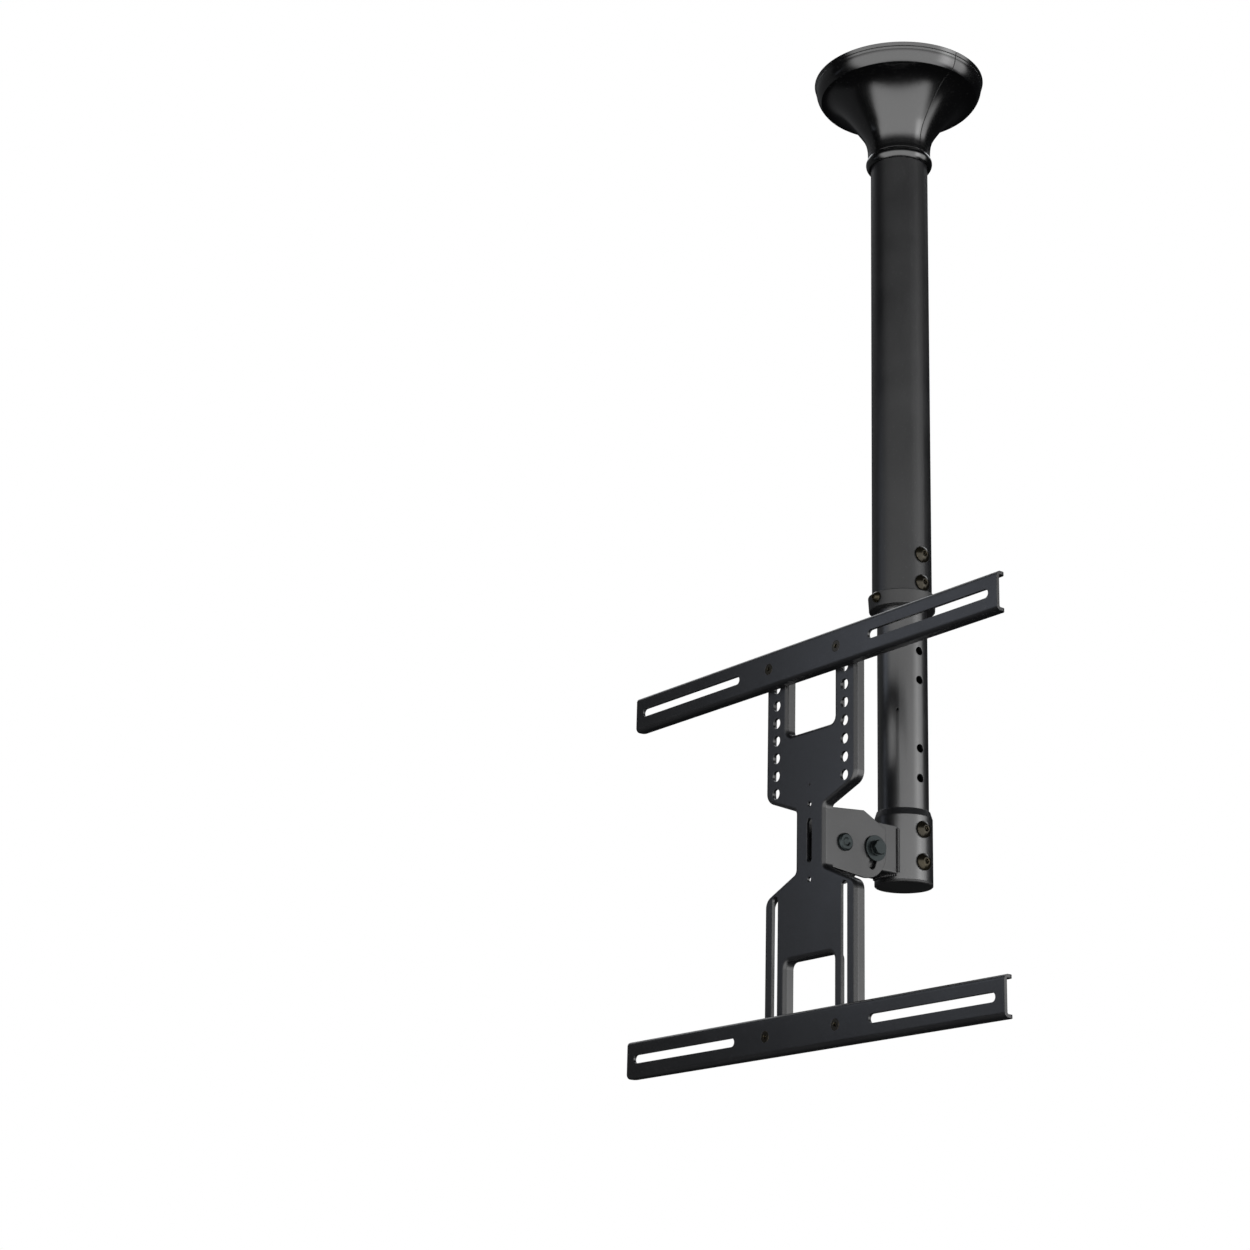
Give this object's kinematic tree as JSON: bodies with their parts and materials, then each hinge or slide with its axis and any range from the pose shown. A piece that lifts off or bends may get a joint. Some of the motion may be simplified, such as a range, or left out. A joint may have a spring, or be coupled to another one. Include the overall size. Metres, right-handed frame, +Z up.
{
  "type": "telescopic television ceiling mount",
  "caption": "Ceiling mount for a flat television: flared cover, swivelling telescopic pole, tilting pressed head plate and slotted cross rails.",
  "frame": {"origin": "centre of the ceiling plate, on the face that meets the ceiling and on the axis of the pole", "axes": "+Z up into the ceiling, -Y towards the television, X along the rails"},
  "size_m": [0.534, 0.221, 1.0523],
  "materials": {
    "black_coat": "satin black powder coat",
    "gloss_black_plastic": "gloss black",
    "matt_black_plastic": "matt black",
    "black_zinc": "black zinc plate"
  },
  "bodies": {
    "ceiling": {"ceiling_plate": "black_coat", "swivel_spigot": "black_coat", "canopy_front": "gloss_black_plastic", "canopy_rear": "gloss_black_plastic", "canopy_ring": "gloss_black_plastic"},
    "pole": {"outer_tube": "black_coat", "swivel_screws": "black_zinc", "end_collar": "matt_black_plastic", "steady_screws": "black_zinc", "height_lock_screws": "black_zinc"},
    "telescope": {"inner_tube": "black_coat", "guide_ring": "matt_black_plastic", "hub_sleeve": "black_coat", "tilt_arm": "black_coat", "end_cap": "matt_black_plastic", "hub_bolts": "black_zinc", "hub_nuts": "black_zinc", "pivot_pin": "black_zinc", "pivot_nut": "black_zinc", "tilt_lock_bolt": "black_zinc", "tilt_lock_nut": "black_zinc", "tilt_lock_washers": "black_zinc", "tilt_lock_spring_washers": "black_zinc", "friction_washers": "black_zinc"},
    "head": {"head_plate": "black_coat", "upper_rail": "black_coat", "upper_rail_screws": "black_zinc", "upper_rail_washers": "black_zinc", "upper_rail_nuts": "black_zinc"},
    "lower_rail": {"lower_rail": "black_coat", "lower_rail_screws": "black_zinc", "lower_rail_washers": "black_zinc", "lower_rail_nuts": "black_zinc"}
  },
  "joints": [
    {"name": "swivel", "type": "hinge", "parent": "ceiling", "child": "pole", "pos_m": [0, 0, -0.049], "axis": [0, 0, 1], "continuous": true},
    {"name": "height", "type": "slide", "parent": "pole", "child": "telescope", "axis": [0, 0, 1], "range_m": [-0.1, 0.2]},
    {"name": "tilt", "type": "hinge", "parent": "telescope", "child": "head", "pos_m": [0, -0.094, -0.8535], "axis": [1, 0, 0], "range_deg": [-5, 25]},
    {"name": "rail_height", "type": "slide", "parent": "head", "child": "lower_rail", "axis": [0, 0, 1], "range_m": [0, 0.13]}
  ]
}
